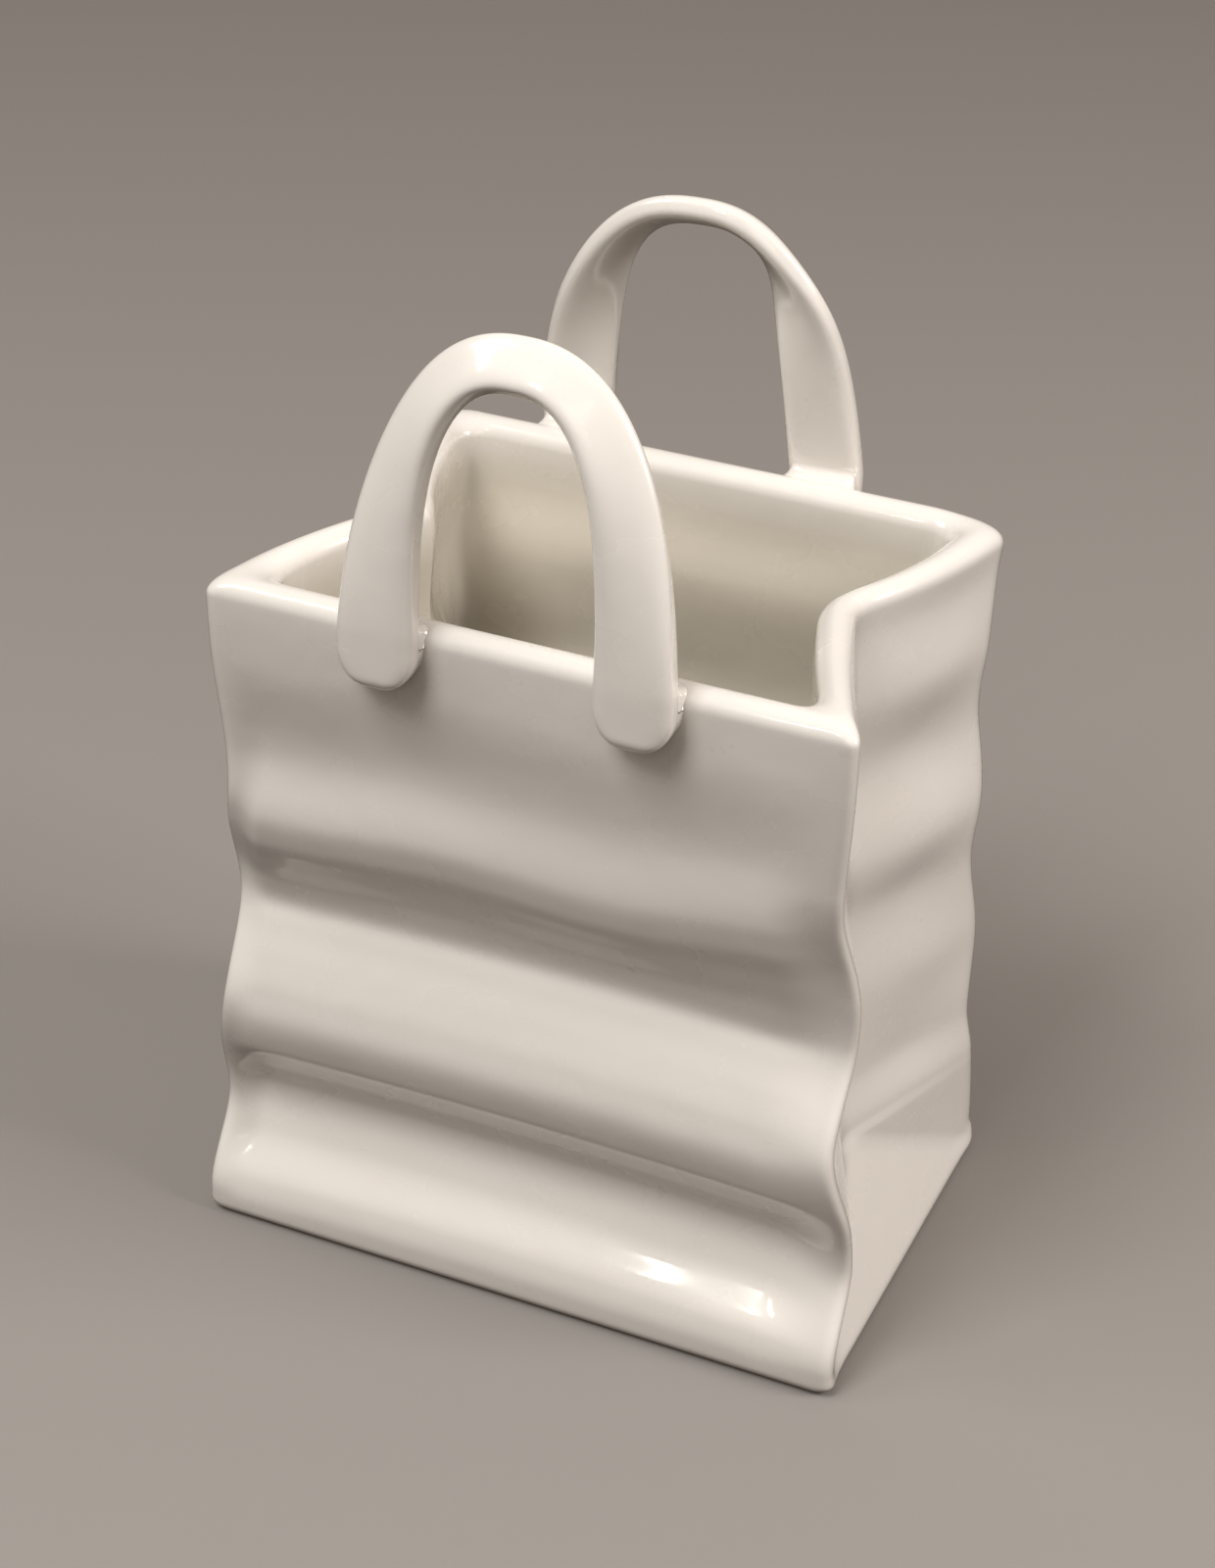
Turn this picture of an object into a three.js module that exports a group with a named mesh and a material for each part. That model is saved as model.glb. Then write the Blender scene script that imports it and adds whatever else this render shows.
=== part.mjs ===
// A glazed ceramic vase in the shape of a paper carrier bag: a cast bag body with waved panels, folded-in
// gussets and a block bottom, two strap handles, and the slip joints that hold the handles' feet.
// Millimetres, +Z up. The origin is the middle of the footprint, the front panel faces -Y.
import * as THREE from "three";

// Bag body, overall
const BASE_WIDTH = 122;
const BASE_DEPTH = 81.8;
const RIM_HEIGHT = 130;
const WALL = 6.2;
const FLOOR = 6.5;
const FLOOR_FILLET = 6;

// Underside: rounded edge, flat unglazed foot band, shallow hollow inside it
const EDGE_ROUND = 2.6;
const FOOT_BAND = 5.5;
const FOOT_HOLLOW = 1.4;

// Waves of the panels. Each entry is a height and how far the panel lies inside the base's edge there;
// between entries the panel curves smoothly from one to the next. The steep stretch low on the front is the
// underside of its middle fold, which hangs over the fold below.
const FRONT_EDGE = [[5, 0], [22.5, 7], [46, 1.1], [66.5, 8.9], [95, 1.5], [RIM_HEIGHT, -0.8]];
const FRONT_MIDDLE = [
  [5, 0], [28.4, 10.5], [35.9, 3], [46, 0.9], [54, 3.8], [66, 11.2], [78, 4.7], [84, 1.7], [88.5, 1.1],
  [99, 2], [RIM_HEIGHT - 12, -0.5], [RIM_HEIGHT, -0.8],
];
const BACK_EDGE = [[5, 0], [36, 3.5], [48, 2.5], [73, 6], [88, 4.9], [104, 6], [RIM_HEIGHT, 1]];
const BACK_MIDDLE = [
  [5, 0], [34, 8], [48, 1.6], [71, 9], [92, 2.2],
  [RIM_HEIGHT - 22, 2.8], [RIM_HEIGHT - 9, -0.4], [RIM_HEIGHT, -0.8],
];
// How far the vertical edges lie inside the base's ends, by height
const FRONT_CORNER = [[5, 0], [30, 0.5], [51, 3.6], [73, 2.8], [94, 5.3], [118, 4.1], [RIM_HEIGHT, 4]];
const BACK_CORNER = [
  [5, 0.6], [36, 1.6], [48, 2.6], [73, 3.4], [88, 3.9], [104, 5.2], [RIM_HEIGHT, 5.9],
];
// The waves aren't level. The low fold sags towards both edges; the upper one, past a change between two
// heights, climbs to the right and sways once on the way. The dent above it is deeper on the left.
const FOLD_SAG = 1.5;
const WAVE_TILT = 1.6;
const WAVE_SWAY = 0.9;
const CHANGE_LOW = 45;
const CHANGE_HIGH = 60;
const DENT_DEPTH = 0.9;
const DENT_HEIGHT = 100;
const DENT_REACH = 16;
// Beside each vertical edge the panel keeps the edge's wave for a strip, then passes over to the middle's
const EDGE_STRIP = 2;
const EDGE_BLEND = 8;
const FRONT_CORNER_REACH = 3.2;
const BACK_CORNER_REACH = 5.5;

// Gussets: the fold in the middle of each side, the triangle of the block bottom below it, the waves by
// height and the outward bow of the halves, which fades out towards the foot
const FOLD_INSET = 13.8;
const FOLD_FLAT = 2.2;
const FOLD_CLEARANCE = 8;
const APEX_HEIGHT = 23.5;
const CREASE_REACH = 4;
const GUSSET_WAVE = [
  [24, 0], [33, 2.3], [50, 0], [66.5, 2.7], [79, 0.1], [95, 3.4], [110.5, 0], [122, 0.9], [RIM_HEIGHT, 0],
];
const BACK_BOW = 2.4;
const LEFT_FRONT_BOW = 2.7;
const BOW_FADE = 120;

// Strap handles, measured from the rim
const FOOT_DROP = 10.5;
const FOOT_WIDTH = 13.5;
const FOOT_THICKNESS = 4.7;
const FOOT_END_ROUND = 6;
const CROWN_WIDTH = 9.1;
const CROWN_THICKNESS = 4.4;
const STRAP_SQUARENESS = 4.5;
const FRONT_HANDLE = {
  halfSpan: 22.1, springDrop: 8, crownRise: 46.8, squareness: 2.45,
  shift: -1.1, sway: -0.6, tip: 0, lean: 4.8, twist: 41,
};
const REAR_HANDLE = {
  halfSpan: 23.7, springDrop: 4, crownRise: 44.5, squareness: 2.5,
  shift: -4.2, sway: -0.9, tip: 0.8, lean: 3.5, twist: 66,
};
const LEAN_POWER = 1.3;

// Slip joints between the handles' feet and the panels
const SLIP_THICKNESS = 0.6;
const SLIP_GAP = 0.3;
const SLIP_MARGIN = 1.8;
const SLIP_ROUND = 1.6;
const SLIP_BELOW_ROUNDING = 0.4;

// Fineness of the faceted surfaces
const PANEL_STEPS = 16;
const SLOPE_STEPS = 4;
const FOLD_STEPS = 2;
const CORNER_STEPS = 3;
const OUTER_STEPS = 38;
const INNER_STEPS = 18;
const ROUND_STEPS = 3;
const STRAP_STEPS = 42;
const STRAP_SIDES = 16;

const HALF_WIDTH = BASE_WIDTH / 2;
const HALF_DEPTH = BASE_DEPTH / 2;
const RIM_ROUND = WALL / 2;
const FOOT_TIP = RIM_HEIGHT - FOOT_DROP;

const clamp01 = (t) => Math.min(1, Math.max(0, t));
const smooth = (t) => clamp01(t) ** 2 * (3 - 2 * clamp01(t));
const mix = (a, b, t) => a + (b - a) * t;
const steps = (count) => Array.from({ length: count + 1 }, (_, i) => i / count);

// Steepness of the line between two neighbouring stations, and of the smooth curve at a station: level at a
// crest, a valley or an end, else the harmonic mean of the lines on both sides.
const between = ([z0, v0], [z1, v1]) => (v1 - v0) / (z1 - z0);
function steepness(stations, i) {
  if (i === 0 || i === stations.length - 1) return 0;
  const below = between(stations[i - 1], stations[i]);
  const above = between(stations[i], stations[i + 1]);
  return below * above > 0 ? (2 * below * above) / (below + above) : 0;
}

// Value of a list of stations at a height, on a cubic through them that never overshoots.
function eased(stations, z) {
  const i = stations.findIndex(([height]) => height >= z);
  if (i === 0) return stations[0][1];
  if (i < 0) return stations.at(-1)[1];
  const [low, from] = stations[i - 1];
  const [high, to] = stations[i];
  const t = (z - low) / (high - low);
  const bend = steepness(stations, i - 1) * (1 - t) - steepness(stations, i) * t;
  return mix(from, to, smooth(t)) + (high - low) * t * (1 - t) * bend;
}

// How much further in than its edges a panel lies, at a place along it and a height.
function hollow(edge, middle, corner, x, z) {
  const fromEdge = HALF_WIDTH - eased(corner, z) - Math.abs(x);
  const part = x / HALF_WIDTH;
  const climb = WAVE_TILT * part - WAVE_SWAY * Math.sin(2 * Math.PI * part);
  const past = smooth((z - CHANGE_LOW) / (CHANGE_HIGH - CHANGE_LOW));
  const level = z - mix(-FOLD_SAG * part ** 2, climb, past);
  const dent = -DENT_DEPTH * part * smooth(1 - Math.abs(z - DENT_HEIGHT) / DENT_REACH);
  return (eased(middle, level) + dent - eased(edge, z)) * smooth((fromEdge - EDGE_STRIP) / EDGE_BLEND);
}

// How far a gusset lies inside its straight fold. The share of the depth runs from -1 at the front edge to 1
// at the back one; waves are strongest in the back half, and the halves bow outwards between fold and edge.
function ripple(x, share, z) {
  const across = smooth((share + 0.8) / 1.4) * (1 - 0.65 * smooth(2 * share - 1));
  const frontBow = x < 0 ? LEFT_FRONT_BOW : 0;
  const bow = share > 0 ? BACK_BOW : frontBow;
  const part = clamp01(Math.abs(share));
  const fade = smooth((z - RIM_HEIGHT + BOW_FADE) / BOW_FADE);
  return eased(GUSSET_WAVE, z) * across - bow * 4 * part * (1 - part) * fade;
}

// The eight corners of the bag's plan at a height, anticlockwise from the front left one, each with the
// reach of its rounding. Below the apex the gusset's fold opens out into the triangle of the block bottom,
// but stays clear of the vertical edges, also once the plan is moved in by a distance.
function planCorners(z, distance) {
  const front = HALF_WIDTH - eased(FRONT_CORNER, z);
  const back = HALF_WIDTH - eased(BACK_CORNER, z);
  const folded = clamp01(z / APEX_HEIGHT);
  const foldX = (front + back) / 2 - FOLD_INSET * folded;
  const frontY = HALF_DEPTH - eased(FRONT_EDGE, z);
  const backY = HALF_DEPTH - eased(BACK_EDGE, z);
  const widest = Math.min(frontY, backY) - 1.2 * distance - FOLD_CLEARANCE;
  const foldY = Math.min(widest, Math.max(HALF_DEPTH * (1 - folded), FOLD_FLAT));
  const right = [
    [front, -frontY, FRONT_CORNER_REACH],
    [foldX, -foldY, CREASE_REACH],
    [foldX, foldY, CREASE_REACH],
    [back, backY, BACK_CORNER_REACH],
  ];
  const left = right.map(([x, y, reach]) => [-x, y, reach]).reverse();
  return [left[3], ...right, ...left.slice(0, 3)];
}

// The same corners moved so that every side of the plan lies a distance further in.
function insetCorners(corners, distance) {
  const inward = corners.map(([x, y], i) => {
    const [nextX, nextY] = corners[(i + 1) % corners.length];
    const length = Math.hypot(nextX - x, nextY - y);
    return [(y - nextY) / length, (nextX - x) / length];
  });
  return corners.map(([x, y, reach], i) => {
    const [ax, ay] = inward.at(i - 1);
    const [bx, by] = inward[i];
    const along = distance / (1 + ax * bx + ay * by);
    return [x + (ax + bx) * along, y + (ay + by) * along, reach];
  });
}

// One closed ring of the body at a height and a distance in from the outer face. Corners are rounded as
// parabolas, then panels take their waves and gussets their ripples.
function bodyRing(z, distance) {
  const corners = insetCorners(planCorners(z, distance), distance)
    .map(([x, y, reach]) => [new THREE.Vector2(x, y), reach]);
  const sideSteps = [PANEL_STEPS, SLOPE_STEPS, FOLD_STEPS, SLOPE_STEPS];
  const rounded = corners.map(([here, reach], i) => {
    const before = corners.at(i - 1)[0];
    const after = corners[(i + 1) % corners.length][0];
    const span = Math.min(reach, 0.45 * here.distanceTo(before), 0.45 * here.distanceTo(after));
    const start = here.clone().lerp(before, span / here.distanceTo(before));
    const end = here.clone().lerp(after, span / here.distanceTo(after));
    return new THREE.QuadraticBezierCurve(start, here, end);
  });
  const plan = rounded.flatMap((curve, i) => {
    const next = rounded[(i + 1) % rounded.length].v0;
    const side = steps(sideSteps[i % sideSteps.length])
      .slice(1, -1)
      .map((t) => curve.v2.clone().lerp(next, t - Math.sin(2 * Math.PI * t) / 12));
    return [...curve.getPoints(CORNER_STEPS), ...side];
  });
  const frontLine = HALF_DEPTH - eased(FRONT_EDGE, z);
  const backLine = HALF_DEPTH - eased(BACK_EDGE, z);
  return plan.map(({ x, y }) => {
    const share = y < 0 ? y / (frontLine - distance) : y / (backLine - distance);
    const onPanel = smooth((Math.abs(share) - 0.6) / 0.35);
    const wave = y < 0
      ? hollow(FRONT_EDGE, FRONT_MIDDLE, FRONT_CORNER, x, z)
      : hollow(BACK_EDGE, BACK_MIDDLE, BACK_CORNER, x, z);
    const onGusset = smooth((Math.abs(x) - HALF_WIDTH / 3) / EDGE_BLEND);
    return new THREE.Vector3(
      x - Math.sign(x) * ripple(x, share, z) * onGusset,
      y - Math.sign(y) * wave * onPanel,
      z,
    );
  });
}

// A closed surface through a run of rings, each end closed by a fan to its own middle point.
function loft(rings, firstMiddle, lastMiddle) {
  const sides = rings[0].length;
  const vertices = [...rings.flat(), firstMiddle, lastMiddle];
  const first = vertices.length - 2;
  const last = vertices.length - 1;
  const lastRing = (rings.length - 1) * sides;
  const faces = [];
  for (let s = 0; s < sides; s++) {
    const t = (s + 1) % sides;
    faces.push(first, t, s, last, lastRing + s, lastRing + t);
    for (let row = 0; row < lastRing; row += sides) {
      faces.push(row + s, row + t, row + sides + t, row + s, row + sides + t, row + sides + s);
    }
  }
  const geometry = new THREE.BufferGeometry().setFromPoints(vertices);
  geometry.setIndex(faces);
  geometry.computeVertexNormals();
  return geometry;
}

// The bag body, lofted from the hollow of its underside out over the foot band, up the outer face, over the
// rim, down the inner face and over the fillet to the floor.
function bagBody() {
  const bandInner = EDGE_ROUND + FOOT_BAND;
  const wallFoot = FLOOR + FLOOR_FILLET;
  const shoulder = RIM_HEIGHT - RIM_ROUND;
  const underside = [bodyRing(FOOT_HOLLOW, bandInner + FOOT_HOLLOW), bodyRing(0, bandInner)];
  const lowerEdge = steps(ROUND_STEPS).map((t) => {
    const angle = (t * Math.PI) / 2;
    return bodyRing(EDGE_ROUND * (1 - Math.cos(angle)), EDGE_ROUND * (1 - Math.sin(angle)));
  });
  const outer = steps(OUTER_STEPS).slice(1).map((t) => bodyRing(mix(EDGE_ROUND, shoulder, t), 0));
  const rim = steps(2 * ROUND_STEPS).slice(1).map((t) => {
    const angle = t * Math.PI;
    return bodyRing(shoulder + RIM_ROUND * Math.sin(angle), RIM_ROUND * (1 - Math.cos(angle)));
  });
  const inner = steps(INNER_STEPS).slice(1).map((t) => bodyRing(mix(shoulder, wallFoot, t), WALL));
  const fillet = steps(ROUND_STEPS).slice(1).map((t) => {
    const angle = (t * Math.PI) / 2;
    return bodyRing(wallFoot - FLOOR_FILLET * Math.sin(angle), WALL + FLOOR_FILLET * (1 - Math.cos(angle)));
  });
  const rings = [...underside, ...lowerEdge, ...outer, ...rim, ...inner, ...fillet];
  return loft(rings, new THREE.Vector3(0, 0, FOOT_HOLLOW), new THREE.Vector3(0, 0, FLOOR));
}

// Outermost face of a panel between the handles' foot tips and the rim, where the joints sit.
function seatDepth(middle) {
  return HALF_DEPTH - Math.min(...steps(8).map((t) => eased(middle, mix(FOOT_TIP, RIM_HEIGHT, t))));
}

// Middle line of a strap handle from its left foot tip over the crown to its right one: straight legs and a
// superellipse arch that leans in over the mouth and tips a little to one side.
class StrapPath extends THREE.Curve {
  constructor(handle, side, footY) {
    super();
    Object.assign(this, { handle, side, footY, arcLengthDivisions: 600 });
  }

  // Share of the way from the rim up to the crown.
  rise(z) {
    return clamp01((z - RIM_HEIGHT) / this.handle.crownRise);
  }

  getPoint(t) {
    const { halfSpan, springDrop, crownRise, squareness, shift, sway, tip, lean } = this.handle;
    const spring = RIM_HEIGHT - springDrop;
    const leg = 0.04;
    const angle = Math.PI * clamp01((t - leg) / (1 - 2 * leg));
    const power = 2 / squareness;
    const fromFoot = Math.min(t, 1 - t);
    const arch = spring + (crownRise + springDrop) * Math.sin(angle) ** power;
    const z = fromFoot < leg ? mix(FOOT_TIP, spring, fromFoot / leg) : arch;
    const x = -halfSpan * Math.sign(Math.cos(angle)) * Math.abs(Math.cos(angle)) ** power;
    const up = this.rise(z);
    const y = this.side * (this.footY - lean * up ** LEAN_POWER);
    return new THREE.Vector3(x + shift + sway * up, y, z + (tip * up * x) / halfSpan);
  }
}

// A strap handle: a rounded flat section swept along its path. It lies flat on the panel at its feet, narrows
// and turns its outer face upwards towards the crown; its ends are rounded like a tongue.
function strapHandle(handle, side, footY) {
  const path = new StrapPath(handle, side, footY);
  const length = path.getLength();
  const tongue = [0, 0.06, 0.2, 0.45, 0.72].map((share) => share * FOOT_END_ROUND);
  const run = steps(STRAP_STEPS).map((t) => mix(FOOT_END_ROUND, length - FOOT_END_ROUND, t));
  const stations = [...tongue, ...run, ...tongue.map((s) => length - s).reverse()];
  const rings = stations.map((s) => {
    const middle = path.getPointAt(s / length);
    const along = path.getTangentAt(s / length);
    const up = path.rise(middle.z);
    const turn = THREE.MathUtils.degToRad(handle.twist * smooth(up));
    const [c, d] = [Math.cos(turn), Math.sin(turn)];
    const face = new THREE.Vector3(-along.z * d, side * c, along.x * d);
    face.addScaledVector(along, -face.dot(along)).normalize();
    const across = face.clone().cross(along);
    const fromEnd = clamp01(Math.min(s, length - s) / FOOT_END_ROUND);
    const end = Math.sqrt(1 - (1 - fromEnd) ** 2);
    const width = mix(FOOT_WIDTH, CROWN_WIDTH, up) * mix(0.3, 1, end);
    const thickness = mix(FOOT_THICKNESS, CROWN_THICKNESS, up) * mix(0.7, 1, end);
    const power = 2 / STRAP_SQUARENESS;
    return steps(STRAP_SIDES).slice(0, -1).map((t) => {
      const [wide, thick] = [Math.cos(2 * Math.PI * t), Math.sin(2 * Math.PI * t)];
      return middle.clone()
        .addScaledVector(across, (width / 2) * Math.sign(wide) * Math.abs(wide) ** power)
        .addScaledVector(face, (thickness / 2) * Math.sign(thick) * Math.abs(thick) ** power);
    });
  });
  return loft(rings, path.getPoint(0), path.getPoint(1));
}

// A slip joint: a thin pad with rounded corners behind a handle's foot, standing off the panel's seat.
function slipJoint(x, side, seat) {
  const halfWidth = FOOT_WIDTH / 2 - SLIP_MARGIN;
  const low = FOOT_TIP + SLIP_MARGIN;
  const high = RIM_HEIGHT - RIM_ROUND - SLIP_BELOW_ROUNDING;
  const reach = Math.min(SLIP_ROUND, (high - low) / 2.5);
  const outline = new THREE.Shape();
  outline.absarc(halfWidth - reach, low + reach, reach, -Math.PI / 2, 0);
  outline.absarc(halfWidth - reach, high - reach, reach, 0, Math.PI / 2);
  outline.absarc(reach - halfWidth, high - reach, reach, Math.PI / 2, Math.PI);
  outline.absarc(reach - halfWidth, low + reach, reach, Math.PI, Math.PI * 1.5);
  const pad = new THREE.ExtrudeGeometry(outline, {
    depth: SLIP_THICKNESS, bevelEnabled: false, curveSegments: 4,
  });
  const near = seat + SLIP_GAP;
  return pad.rotateX(Math.PI / 2).translate(x, side < 0 ? -near : near + SLIP_THICKNESS, 0);
}

const group = new THREE.Group();
group.name = "bag_vase";

function add(name, geometry, color, roughness) {
  const mesh = new THREE.Mesh(geometry, new THREE.MeshStandardMaterial({ color, roughness }));
  mesh.name = name;
  group.add(mesh);
}

const GLAZE = 0xe9e4da;
const SLIP = 0xe3dccf;

add("bag_body", bagBody(), GLAZE, 0.22);
for (const [place, handle, side, middle] of [
  ["front", FRONT_HANDLE, -1, FRONT_MIDDLE],
  ["rear", REAR_HANDLE, 1, BACK_MIDDLE],
]) {
  const seat = seatDepth(middle);
  const footY = seat + 2 * SLIP_GAP + SLIP_THICKNESS + FOOT_THICKNESS / 2;
  add(`${place}_handle`, strapHandle(handle, side, footY), GLAZE, 0.22);
  add(`slip_joint_${place}_left`, slipJoint(handle.shift - handle.halfSpan, side, seat), SLIP, 0.6);
  add(`slip_joint_${place}_right`, slipJoint(handle.shift + handle.halfSpan, side, seat), SLIP, 0.6);
}

export default group;
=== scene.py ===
"""A glazed ceramic vase in the shape of a paper carrier bag, dressed over its solids: the cast bag body,
two strap handles and the slip that sticks the handles' feet to the panels."""
import math

import bpy
import numpy as np
from mathutils import Matrix, Vector


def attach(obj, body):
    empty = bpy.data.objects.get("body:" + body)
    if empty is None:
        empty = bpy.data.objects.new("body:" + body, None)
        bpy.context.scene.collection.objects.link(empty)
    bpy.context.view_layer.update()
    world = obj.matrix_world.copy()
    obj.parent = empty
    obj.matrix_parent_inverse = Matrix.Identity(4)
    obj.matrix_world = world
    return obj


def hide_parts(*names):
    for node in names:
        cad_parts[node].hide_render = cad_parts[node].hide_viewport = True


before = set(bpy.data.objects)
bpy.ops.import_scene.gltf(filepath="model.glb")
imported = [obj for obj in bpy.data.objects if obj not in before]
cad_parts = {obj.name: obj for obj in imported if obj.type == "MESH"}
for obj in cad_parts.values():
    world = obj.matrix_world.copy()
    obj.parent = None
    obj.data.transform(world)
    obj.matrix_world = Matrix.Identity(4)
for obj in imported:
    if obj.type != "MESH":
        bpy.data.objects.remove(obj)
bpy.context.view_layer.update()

# Camera. It looks down on the vase from the front right, level but for a slight tilt of the hand,
# with a lens of 72 mm on a 36 mm frame.
VIEW_AZIMUTH = math.radians(22.61)
VIEW_ELEVATION = math.radians(30.35)
VIEW_ROLL = math.radians(2.16)
VIEW_DISTANCE = 0.54215
VIEW_AIM = Vector((-0.00105, -0.00128, 0.08498))
VIEW_LENS = 72
VIEW_FRAME = 36
VIEW_NEAR = 0.01

view_back = Vector((
    math.sin(VIEW_AZIMUTH) * math.cos(VIEW_ELEVATION),
    -math.cos(VIEW_AZIMUTH) * math.cos(VIEW_ELEVATION),
    math.sin(VIEW_ELEVATION),
))
view_level = Vector((0, 0, 1)).cross(view_back).normalized()
view_upright = view_back.cross(view_level)
view_right = view_level * math.cos(VIEW_ROLL) + view_upright * math.sin(VIEW_ROLL)
view_up = view_upright * math.cos(VIEW_ROLL) - view_level * math.sin(VIEW_ROLL)
view_from = VIEW_AIM + view_back * VIEW_DISTANCE
lens = bpy.data.cameras.new("photo_view")
lens.lens = VIEW_LENS
lens.sensor_width = VIEW_FRAME
lens.sensor_fit = "AUTO"
lens.clip_start = VIEW_NEAR
camera = bpy.data.objects.new("photo_view", lens)
camera.matrix_world = Matrix((
    (view_right.x, view_up.x, view_back.x, view_from.x),
    (view_right.y, view_up.y, view_back.y, view_from.y),
    (view_right.z, view_up.z, view_back.z, view_from.z),
    (0, 0, 0, 1),
))
bpy.context.scene.collection.objects.link(camera)
bpy.context.scene.camera = camera

# Studio. A plain pale sweep of paper: a floor that turns up into a wall well behind the vase. A soft key
# lamp hangs high on the left, a strong one stands on the right, weak ones fill in from left and front, and
# two narrow strips give the glaze its glints. The paper throws no light back, so that the folds stay deep.
FLOOR_FRONT = -2.5
FLOOR_REACH = 1.6
FLOOR_HALF_WIDTH = 4.0
WALL_RISE = 1.8
COVE_RADIUS = 0.6
COVE_STEPS = 24
PAPER_COLOUR = (0.285, 0.268, 0.254, 1)
PAPER_ROUGHNESS = 0.85
LAMP_DISTANCE = 1.3
LAMP_AIM = Vector((0, 0, 0.08))
ROOM_ABOVE = (0.34, 0.3, 0.265, 1)
ROOM_BELOW = (0.09, 0.076, 0.066, 1)
ROOM_HORIZON = 0.15
EXPOSURE = 0.38
GAMMA = 0.88


def mesh_from_grid(name, points, closed, first=None, last=None):
    """A mesh of quads over a grid of points, rows by columns, in metres. Closed joins the last column to the
    first; first and last, where given, close the end rows with fans to those points."""
    rows, columns = points.shape[:2]
    vertices = points.reshape(-1, 3)
    caps = [point for point in (first, last) if point is not None]
    if caps:
        vertices = np.vstack([vertices, np.array(caps)])
    index = np.arange(rows * columns).reshape(rows, columns)
    here = index if closed else index[:, :-1]
    beside = np.roll(index, -1, axis=1) if closed else index[:, 1:]
    quads = np.stack([here[:-1], beside[:-1], beside[1:], here[1:]], axis=-1).reshape(-1, 4)
    fans = []
    if first is not None:
        fans.append(np.stack([np.full(columns, rows * columns), beside[0], here[0]], axis=-1))
    if last is not None:
        fans.append(np.stack([np.full(columns, len(vertices) - 1), here[-1], beside[-1]], axis=-1))
    triangles = np.concatenate(fans) if fans else np.zeros((0, 3), int)
    corners = np.concatenate([quads.ravel(), triangles.ravel()]).astype(np.int32)
    sizes = np.concatenate([np.full(len(quads), 4), np.full(len(triangles), 3)]).astype(np.int32)
    starts = np.concatenate([[0], np.cumsum(sizes)[:-1]]).astype(np.int32)
    mesh = bpy.data.meshes.new(name)
    mesh.vertices.add(len(vertices))
    mesh.vertices.foreach_set("co", vertices.astype(np.float32).ravel())
    mesh.loops.add(len(corners))
    mesh.loops.foreach_set("vertex_index", corners)
    mesh.polygons.add(len(sizes))
    mesh.polygons.foreach_set("loop_start", starts)
    mesh.polygons.foreach_set("use_smooth", np.ones(len(sizes), bool))
    mesh.update(calc_edges=True)
    mesh.validate()
    piece = bpy.data.objects.new(name, mesh)
    bpy.context.scene.collection.objects.link(piece)
    return piece


def wire(tree, kind, settings=None, **sockets):
    """A shader node with its settings made and each socket set to a value or linked to another socket. A
    socket goes by its name, or by i and its place where a node has several of one name."""
    made = tree.nodes.new(kind)
    for name, value in (settings or {}).items():
        setattr(made, name, value)
    for name, value in sockets.items():
        by_place = name[0] == "i" and name[1:].isdigit()
        socket = made.inputs[int(name[1:]) if by_place else name.replace("_", " ")]
        if isinstance(value, bpy.types.NodeSocket):
            tree.links.new(value, socket)
        else:
            socket.default_value = value
    return made


def paper_sweep():
    """A profile carried sideways: level floor, quarter circle, upright wall."""
    turn = np.linspace(0, math.pi / 2, COVE_STEPS)
    wall = FLOOR_REACH + COVE_RADIUS
    depth = np.concatenate([[FLOOR_FRONT], FLOOR_REACH + COVE_RADIUS * np.sin(turn), [wall]])
    height = np.concatenate([[0], COVE_RADIUS * (1 - np.cos(turn)), [WALL_RISE]])
    across = np.array([FLOOR_HALF_WIDTH, -FLOOR_HALF_WIDTH])
    return np.stack(np.broadcast_arrays(across[None, :], depth[:, None], height[:, None]), axis=-1)


sweep = mesh_from_grid("paper_sweep", paper_sweep(), closed=False)
paper = bpy.data.materials.new("pale_paper")
paper.use_nodes = True
paper_shader = paper.node_tree.nodes["Principled BSDF"]
paper_shader.inputs["Base Color"].default_value = PAPER_COLOUR
paper_shader.inputs["Roughness"].default_value = PAPER_ROUGHNESS
sweep.data.materials.append(paper)
sweep.visible_diffuse = False
sweep.visible_glossy = False


def studio_lamp(name, azimuth, elevation, width, height, power, colour, mirrored=True):
    """A rectangular soft lamp at its distance from the vase, in degrees right of the front and above the
    floor. One that isn't mirrored lights the glaze without showing in it."""
    turn, lift = math.radians(azimuth), math.radians(elevation)
    away = Vector((math.sin(turn) * math.cos(lift), -math.cos(turn) * math.cos(lift), math.sin(lift)))
    lamp = bpy.data.lights.new(name, "AREA")
    lamp.shape = "RECTANGLE"
    lamp.size = width
    lamp.size_y = height
    lamp.energy = power
    lamp.color = colour
    held = bpy.data.objects.new(name, lamp)
    held.location = LAMP_AIM + away * LAMP_DISTANCE
    held.rotation_euler = away.to_track_quat("Z", "Y").to_euler()
    held.visible_glossy = mirrored
    bpy.context.scene.collection.objects.link(held)


studio_lamp(
    "key_lamp", azimuth=-22, elevation=56, width=0.5, height=0.5, power=8.1, colour=(1, 1, 1),
    mirrored=False,
)
studio_lamp(
    "left_lamp", azimuth=-65, elevation=50, width=0.45, height=0.45, power=2.2, colour=(1, 0.985, 0.96),
)
studio_lamp(
    "right_lamp", azimuth=94, elevation=32, width=0.5, height=0.45, power=9.0, colour=(1, 0.955, 0.93),
)
studio_lamp(
    "front_lamp", azimuth=20, elevation=32, width=0.5, height=0.5, power=0.6, colour=(1, 0.98, 0.95),
)
studio_lamp(
    "glint_strip_left", azimuth=-17.3, elevation=41, width=0.012, height=0.2, power=0.22,
    colour=(1, 0.99, 0.97),
)
studio_lamp(
    "glint_strip_right", azimuth=-11.7, elevation=41, width=0.014, height=0.26, power=0.34,
    colour=(1, 0.99, 0.97),
)
room = bpy.data.worlds.new("room")
room.use_nodes = True
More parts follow.
